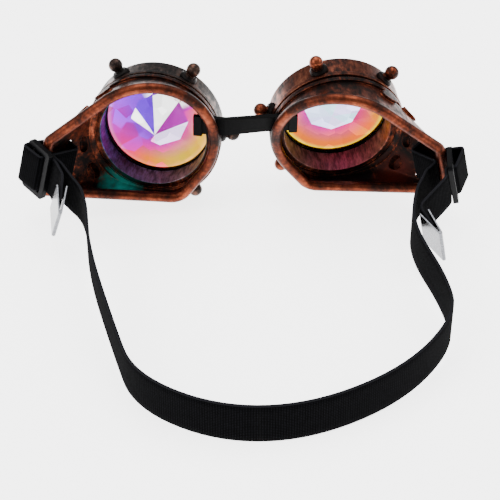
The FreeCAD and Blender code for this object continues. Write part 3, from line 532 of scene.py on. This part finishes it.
def dichroic_crystal(name, cup):
    """Clear glass whose faceted side is tinted: sharp shards inside, a rainbow round them, a bright edge."""
    material, tree, shader = finish_named(name)
    at, facing = cup_space(tree, cup)
    reach = axis_distance(tree, at)
    cells = add(tree, "ShaderNodeTexVoronoi", {"Vector": at, "Scale": per_mm(CRYSTAL_CELL)})
    glint = add(tree, "ShaderNodeSeparateColor", {"Color": cells.outputs["Color"]}).outputs["Red"]
    around = total(tree, turn_share(tree, at), threshold(tree, glint, 0.0, 1.0, -HUE_WANDER, HUE_WANDER))
    inner, outer = ramp(tree, around, *INNER_BAND[cup]), ramp(tree, around, *OUTER_BAND[cup])
    rainbow = mix(tree, threshold(tree, reach, *BAND_CHANGE), inner, outer)
    glow, strength = EDGE_GLOW[cup]
    rainbow = mix(tree, threshold(tree, reach, *EDGE_CHANGE, 0.0, strength), rainbow, linear(glow))

    aside = vector(tree, "SUBTRACT", at, Vector(CRYSTAL_POINT[cup]) * MM)
    shards = ramp(tree, turn_share(tree, aside), *SHARDS[cup], steps="CONSTANT")
    forward = add(tree, "ShaderNodeSeparateXYZ", {"Vector": facing}).outputs["Y"]
    shallow = threshold(tree, number(tree, "ABSOLUTE", forward), *SHALLOW)
    in_middle = product(tree, shallow, threshold(tree, reach, *SHARD_END, 1.0, 0.0))
    coat = mix(tree, in_middle, rainbow, shards)

    dimmed = ramp(tree, glint, (0.0, "#b4b4b4"), (1.0, "#e8e8e8"))
    coat = mix(tree, 1.0, coat, dimmed, "MULTIPLY")
    squared = add(tree, "ShaderNodeGamma", {"Color": coat, "Gamma": 2.0}).outputs["Color"]
    depth = add(tree, "ShaderNodeSeparateXYZ", {"Vector": at}).outputs["Y"]
    colour = mix(tree, threshold(tree, depth, *COAT_START), linear("#ffffff"), squared)
    feed(tree, shader, {"Base Color": colour, "Roughness": 0.02, "IOR": 1.5, "Transmission Weight": 1.0,
                        "Specular Tint": linear("#40305c")})
    return material


for cup in SIDES:
    dress(f"{cup}_crystal_lens", dichroic_crystal(f"{cup}_dichroic_crystal", cup))
print("lenses coated")

# %% [markdown]
# The small hard pieces: rubber for the gaskets and the bridge, satin black nylon for the sliders, and
# nickel-plated steel for the clips. Rubber is dark and dull with a fine mould grain, nylon has a
# smoother skin that takes a soft shine, and the plated clip is bright with fine polishing marks.

# %% Rubber, nylon and nickel
# Millimetres across a polishing mark, and how far a moulded surface's roughness varies
POLISH_MARK = 0.7
SHINE_RANGE = 0.08


def moulded_black(name, low, high, grain, roughness, depth):
    """Black moulded surface: two near-black shades mottled by its grain, which also gives its relief."""
    material, tree, shader = finish_named(name)
    mottle = noise(tree, add(tree, "ShaderNodeTexCoord").outputs["Object"], grain, 5.0)
    relief = add(tree, "ShaderNodeBump", {"Height": mottle, "Strength": 0.25, "Distance": depth * MM,
                                          "Normal": soft_edges(tree)})
    shine = threshold(tree, mottle, 0.0, 1.0, roughness - SHINE_RANGE, roughness + SHINE_RANGE)
    feed(tree, shader, {"Base Color": ramp(tree, mottle, (0.35, low), (0.7, high)), "Roughness": shine,
                        "Specular IOR Level": 0.05, "Normal": relief.outputs["Normal"]})
    return material


rubber = moulded_black("moulded_rubber", "#010101", "#050506", 1.2, 0.55, 0.1)
nylon = moulded_black("satin_nylon", "#040405", "#0a0a0c", 0.8, 0.42, 0.05)

nickel, tree, shader = finish_named("polished_nickel_plate")
marks = noise(tree, add(tree, "ShaderNodeTexCoord").outputs["Object"], POLISH_MARK, 3.0)
feed(tree, shader, {"Base Color": ramp(tree, marks, (0.3, "#4c4d51"), (0.7, "#7c7d81")), "Metallic": 1.0,
                    "Roughness": threshold(tree, marks, 0.0, 1.0, 0.16, 0.3)})

dress("nose_bridge", rubber)
for cup in SIDES:
    dress(f"{cup}_lens_gasket", rubber)
    dress(f"{cup}_strap_slider", nylon)
    dress(f"{cup}_strap_clip", nickel)
print("moulded and plated pieces finished")

# %% [markdown]
# The strap is a woven elastic band 20 mm wide. From the head loop it passes behind the rim's bead, goes
# out through the cup's slot, runs back outside, wraps the slider's outer bar and dives through its inner
# window to end in a tail with a clip. The corners of that way are given twice over: by the cup, along
# the temple and out from the rim's bead, and by the slider, off its face and across it. A number after
# each corner says how far from it the bend begins. The right slider hangs turned on its strap.

# %% Corners of the strap's way
STRAP_WIDTH, STRAP_THICKNESS = 20.0 * MM, 1.3 * MM
TEMPLE_LEAN = radians(12.0)
SLIDER_TURN = {"left": radians(0.0), "right": radians(45.0)}
# The places and lengths below are in millimetres
SLACK = {"left": 0.8, "right": 4.5}
BEAD_TO_SLIDER = 4.15
SLOT_ALONG = -14.2
CUP_CORNERS = [(0.25, -10.8, 6.0), (0.25, -3.5, 3.0), (SLOT_ALONG, -5.5, 4.0), (SLOT_ALONG, 3.5, 4.0)]
SLIDER_CORNERS = [(-2.25, 8.4, 3.0), (2.25, 8.4, 4.0), (2.25, -3.0, 2.4), (-2.25, -3.0, 2.4),
                  (-2.25, -8.8, 8.0)]
# The slider's corner that the slack lifts
WRAP_CORNER = 1
# The last bend of each tail and its cut end in the clip
TAILS = {"left": [(-85.5, 40.5, 27.6), (-85.5, 29.4, 22.9)],
         "right": [(81.6, 29.4, 18.8), (87.1, 18.9, 16.5)]}
TAIL_BEND = 8.0
HEAD_LOOP = [(-71.9, 30.3, 23.0), (-69.4, 0.3, 17.8), (-54.7, -48.2, 12.0), (-45.2, -76.7, 10.4),
             (-11.2, -96.2, 10.0), (26.8, -95.2, 10.0), (66.8, -73.2, 10.6), (90.3, -41.7, 12.6),
             (88.3, -19.7, 14.6), (75.6, 12.3, 19.2), (78.0, 33.3, 22.2)]


def temple_axes(name):
    """Directions along the slider's slide, out from the cup and up the leaning temple."""
    lean = rim_turn @ Vector((-sin(TEMPLE_LEAN), 0, cos(TEMPLE_LEAN)))
    upright = cup_turns[name][1] @ Vector((SIDES[name] * lean.x, lean.y, lean.z))
    along = Vector(joints[f"{name}_slider_slide"]["axis"])
    return along, upright.cross(along) * SIDES[name], upright


def slider_middle(name):
    """The middle of the slider's box."""
    low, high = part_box(f"{name}_strap_slider")
    return (low + high) / 2


def bead_by_slider(name):
    """The rim bead's middle in front of the slider."""
    return slider_middle(name) - temple_axes(name)[0] * BEAD_TO_SLIDER * MM / cos(SLIDER_TURN[name])


def strap_end(name):
    """Corners of one strap end and their bends, from the head loop to the tail."""
    along, out, _ = temple_axes(name)
    turn = SLIDER_TURN[name]
    normal, across = along * cos(turn) + out * sin(turn), out * cos(turn) - along * sin(turn)
    bead, middle = bead_by_slider(name), slider_middle(name)
    corners = [(bead + (along * a + out * o) * MM, bend) for a, o, bend in CUP_CORNERS]
    for i, (off, over, bend) in enumerate(SLIDER_CORNERS):
        slack = SLACK[name] if i == WRAP_CORNER else 0.0
        corners.append((middle + (normal * (off + slack) + across * over) * MM, bend))
    bend_place, cut_place = TAILS[name]
    return corners + [(Vector(bend_place) * MM, TAIL_BEND), (Vector(cut_place) * MM, 0.0)]


head_loop = [(Vector(place) * MM, 0.0) for place in HEAD_LOOP]
print("corners of a strap end:", len(strap_end("left")), "points round the head:", len(head_loop))

# %% [markdown]
# One spline runs through the whole way, from the left tail round the head to the right one. At each
# sharp corner it gets a control point on either side, so it bends there as tightly as the strap does.
# Its points are then taken off as a line, with the distance travelled along the strap at each.

# %% Route of the strap
# A bend takes at most this share of a straight run
BEND_SHARE = 0.46
STEPS_PER_POINT = 8


def rounded_corners(corners):
    """Control points of a spline that rounds the corners: one on either side of each sharp bend."""
    points = [corners[0][0]]
    for (before, _), (corner, bend), (after, _) in zip(corners, corners[1:], corners[2:]):
        steps = [neighbour - corner for neighbour in (before, after)]
        sides = [corner + step * min(bend * MM / step.length, BEND_SHARE) for step in steps]
        points += [sides[0], corner, sides[1]] if bend else [corner]
    return points + [corners[-1][0]]


route = rounded_corners(strap_end("left")[::-1] + head_loop + strap_end("right"))
route_data = bpy.data.curves.new("strap_route", "CURVE")
route_data.dimensions = "3D"
route_data.resolution_u = STEPS_PER_POINT
spline = route_data.splines.new("NURBS")
spline.points.add(len(route) - 1)
for control, point in zip(spline.points, route):
    control.co = (*point, 1.0)
spline.order_u = 3
spline.use_endpoint_u = True
route_curve = bpy.data.objects.new("strap_route", route_data)
line_mesh = bpy.data.meshes.new_from_object(route_curve)
line = [v.co.copy() for v in line_mesh.vertices]
bpy.data.objects.remove(route_curve)

travel = [0.0]
for before, after in zip(line, line[1:]):
    travel.append(travel[-1] + (after - before).length)
print("strap length:", round(travel[-1] / MM), "mm in", len(line), "points")

# %% [markdown]
# A band has a width direction at every point of its route. By a cup it stands along the leaning temple,
# and round the head it stands straight up from the table, so it twists from one to the other between
# the slider and the first point of the head loop. The band's section is a rounded oblong.

# %% Twist and section of the band
FLAT_STEPS, EDGE_STEPS = 6, 3


def nearest(point):
    """Index of the route's point nearest to a place."""
    return min(range(len(line)), key=lambda i: (line[i] - point).length)


twists = {"left": (nearest(strap_end("left")[0][0]), nearest(head_loop[0][0])),
          "right": (nearest(strap_end("right")[0][0]), nearest(head_loop[-1][0]))}


def width_direction(index, heading):
    """Which way the strap's width points here, square to its heading."""
    pull = Vector((0, 0, 1))
    for name, (leaning, upright) in twists.items():
        share = (index - upright) / (leaning - upright)
        pull = pull.lerp(temple_axes(name)[2], min(max(share, 0.0), 1.0))
    return (pull - heading * pull.dot(heading)).normalized()


def section():
    """Outline of the band across its width: offsets along the width and through the thickness."""
    half, flat = STRAP_THICKNESS / 2, STRAP_WIDTH / 2 - STRAP_THICKNESS / 2
    outline = []
    for side in (1, -1):
        outline += [(side * flat * (1 - 2 * i / FLAT_STEPS), side * half) for i in range(FLAT_STEPS)]
        turns = [pi * i / EDGE_STEPS for i in range(EDGE_STEPS)]
        outline += [(-side * (flat + half * sin(turn)), side * half * cos(turn)) for turn in turns]
    return outline


print("points round the band's section:", len(section()))

# %% [markdown]
# The section is carried along the route and skinned. The strap is made in four pieces, cut at the two temple
# slots and at the back of the head loop. Headings and distances come from the whole route, so the pieces
# meet without a step.

# %% The woven band
# Where the two halves of the head strap meet
SEAM = Vector((7.7, -94.1, 10.2)) * MM
# How far in from the bead's middle the strap is cut at a temple slot, in millimetres
SLOT_INSET = 1.0
STRETCHES = ["left_strap_end", "left_head_strap", "right_head_strap", "right_strap_end"]


def band(name, start, stop):
    """Closed band between two points of the route, with UVs in metres along and across it."""
    mesh_data = bpy.data.meshes.new(name)
    mesh = bmesh.new()
    uv_layer = mesh.loops.layers.uv.new("along_and_across")
    outline = section()
    rings = []
    for i in range(start, stop + 1):
        heading = (line[min(i + 1, len(line) - 1)] - line[max(i - 1, 0)]).normalized()
        wide = width_direction(i, heading)
        through = heading.cross(wide)
        rings.append([mesh.verts.new(line[i] + wide * w + through * t) for w, t in outline])
    for i in range(len(rings) - 1):
        for k in range(len(outline)):
            after = (k + 1) % len(outline)
            face = mesh.faces.new((rings[i][k], rings[i][after], rings[i + 1][after], rings[i + 1][k]))
            face.smooth = True
            spans = ((i, k), (i, after), (i + 1, after), (i + 1, k))
            for loop, (ring, corner) in zip(face.loops, spans):
                loop[uv_layer].uv = (travel[start + ring], outline[corner][0])
    mesh.faces.new(rings[0][::-1])
    mesh.faces.new(rings[-1])
    bmesh.ops.recalc_face_normals(mesh, faces=mesh.faces)
    mesh.to_mesh(mesh_data)
    mesh.free()
    piece = bpy.data.objects.new(name, mesh_data)
    bpy.context.scene.collection.objects.link(piece)
    return piece, travel[stop] - travel[start]


slots = {}
for name in SIDES:
    along, out, _ = temple_axes(name)
    slots[name] = bead_by_slider(name) + (along * SLOT_ALONG - out * SLOT_INSET) * MM
cuts = [0, nearest(slots["left"]), nearest(SEAM), nearest(slots["right"]), len(line) - 1]
straps = {}
for name, start, stop in zip(STRETCHES, cuts, cuts[1:]):
    straps[name] = band(name, start, stop)
    print(name, round(straps[name][1] / MM), "mm long")

# %% [markdown]
# Woven elastic is ribbed across by its covered rubber threads and finely striped along by its warp.
# The UVs run in metres along and across the band, so both spacings are real ones: ribs 1.1 mm apart, a
# little coarser than life so that they show, and warp threads 0.9 mm apart. Along either edge the band is
# painted a little lighter than the cloth, as a highlight.

# %% Woven elastic
# Sizes in millimetres
RIB_SPACING, WARP_SPACING, LINT = 1.1, 0.9, 3.0
WEAVE_RELIEF = 0.25
# Bands that a wave texture lays on a length of 1 at a scale of 1
WAVE_BANDS = 3.18
LINT_SHARE = 0.45
# Where the painted highlight along either edge begins, from the middle of the band
PAINTED_EDGE_HIGHLIGHT = (STRAP_WIDTH * 0.46, STRAP_WIDTH * 0.48)

elastic, tree, shader = finish_named("woven_black_elastic")
along_across = add(tree, "ShaderNodeUVMap", uv_map="along_and_across").outputs["UV"]
ribs = add(tree, "ShaderNodeTexWave", {"Vector": along_across, "Scale": per_mm(RIB_SPACING) / WAVE_BANDS,
                                       "Distortion": 0.6}, bands_direction="X")
warp = add(tree, "ShaderNodeTexWave", {"Vector": along_across, "Scale": per_mm(WARP_SPACING) / WAVE_BANDS,
                                       "Distortion": 0.4}, bands_direction="Y")
weave = product(tree, ribs.outputs["Fac"], warp.outputs["Fac"])
lint = noise(tree, along_across, LINT, 5.0)
tone = number(tree, "MULTIPLY_ADD", lint, LINT_SHARE, weave)
cloth = ramp(tree, tone, (0.1, "#010101"), (0.6, "#050506"), (1.0, "#101013"))
off_middle = add(tree, "ShaderNodeSeparateXYZ", {"Vector": along_across}).outputs["Y"]
painted_edge_highlight = threshold(tree, number(tree, "ABSOLUTE", off_middle), *PAINTED_EDGE_HIGHLIGHT)
relief = add(tree, "ShaderNodeBump", {"Height": weave, "Strength": 0.5, "Distance": WEAVE_RELIEF * MM})
# The cloth is painted lighter at either edge as a highlight
feed(tree, shader, {"Base Color": mix(tree, painted_edge_highlight, cloth, linear("#1c1c1f")), "Roughness": 0.85,
                    "Specular IOR Level": 0.0, "Sheen Weight": 0.02, "Sheen Roughness": 0.5,
                    "Normal": relief.outputs["Normal"]})

for name, (piece, run) in straps.items():
    piece.data.materials.append(elastic)
    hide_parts("elastic_strap")
print("strap pieces woven:", len(straps))

# %% [markdown]
# When a cup folds at the bridge, its half of the head strap follows at the temple and stays behind at the
# back of the loop. When a slider moves along the strap, the woven end goes with it and the part by the cup's
# slot stays. Both are bends between two bodies. Here the head straps and strap ends only have their placings
# applied to their meshes.

# %% Apply the strap pieces' placings
for name in SIDES:
    middle, along = slider_middle(name), temple_axes(name)[0]
    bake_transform(straps[f"{name}_head_strap"][0])
    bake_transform(straps[f"{name}_strap_end"][0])
